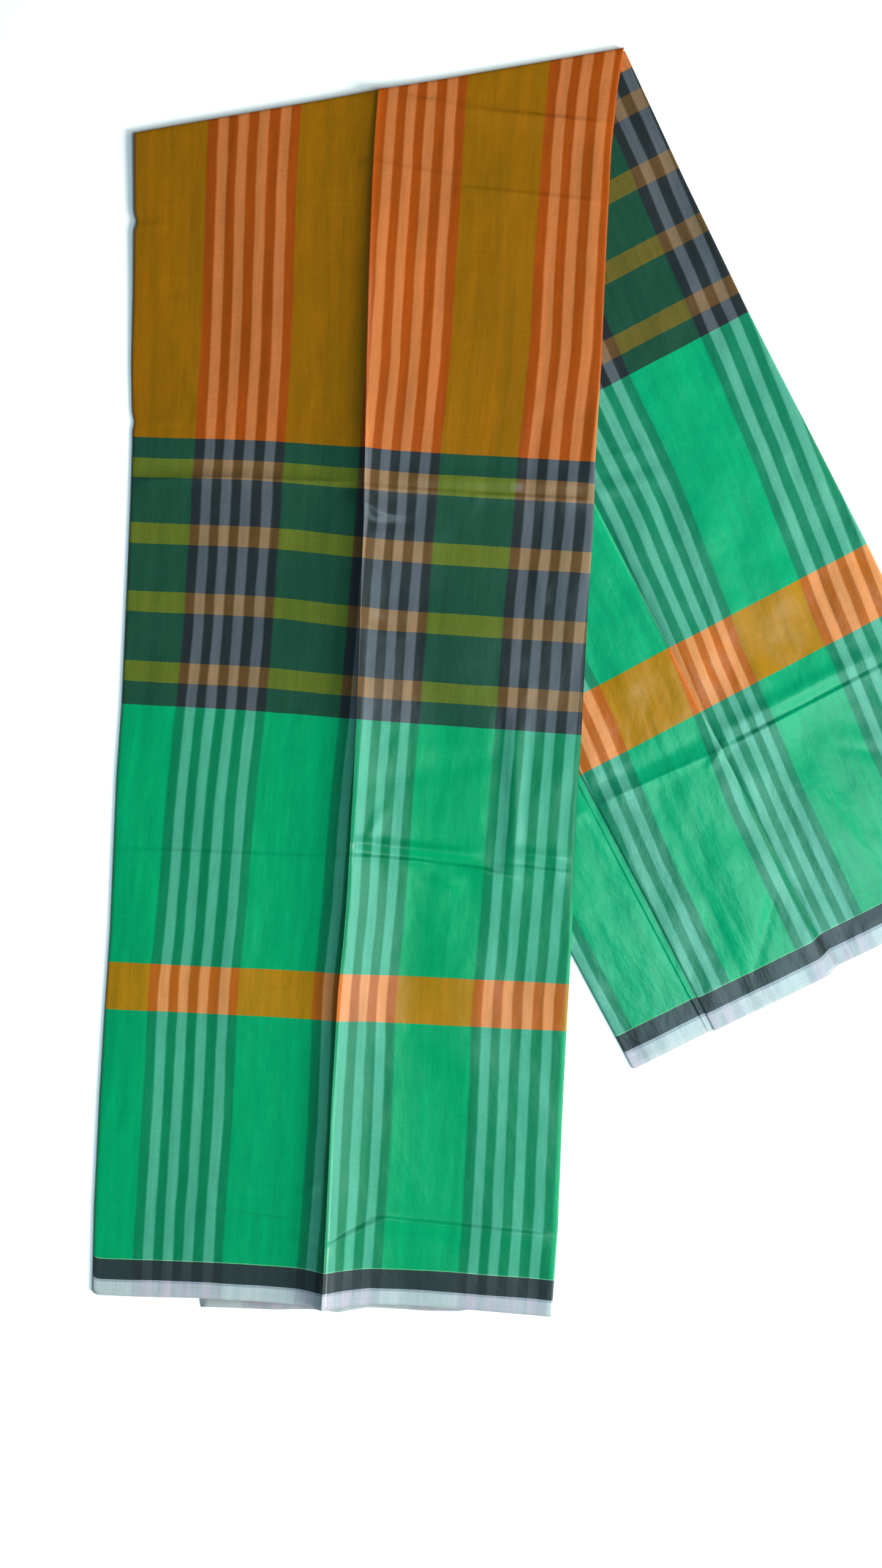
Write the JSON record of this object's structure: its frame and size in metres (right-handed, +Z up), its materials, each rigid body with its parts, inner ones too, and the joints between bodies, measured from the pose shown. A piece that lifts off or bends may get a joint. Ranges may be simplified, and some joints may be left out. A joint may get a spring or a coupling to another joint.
{
  "type": "lungi",
  "caption": "Checked and striped cotton lungi, folded lengthwise to a narrow strip and once across, its two lengths spread into a V flat on the surface",
  "frame": {"origin": "middle of the bounding box, at the level of the surface the cloth lies on", "axes": "+Z up from the surface, +Y along the near length towards the fold that joins the two lengths, +X towards the far length's hem"},
  "size_m": [0.883, 1.1934, 0.0168],
  "materials": {
    "near_length": "woven cotton, mustard, rust and green with light stripes",
    "near_inner_layers": "woven cotton, white and black border showing at the hem",
    "far_flap": "woven cotton, green with mint stripes and an orange band",
    "far_left_layer": "woven cotton, green with an orange band",
    "far_inner_layers": "woven cotton, green"
  },
  "bodies": {
    "root": {"near_length": "near_length", "near_inner_layers": "near_inner_layers", "far_flap": "far_flap", "far_left_layer": "far_left_layer", "far_inner_layers": "far_inner_layers"}
  },
  "joints": []
}
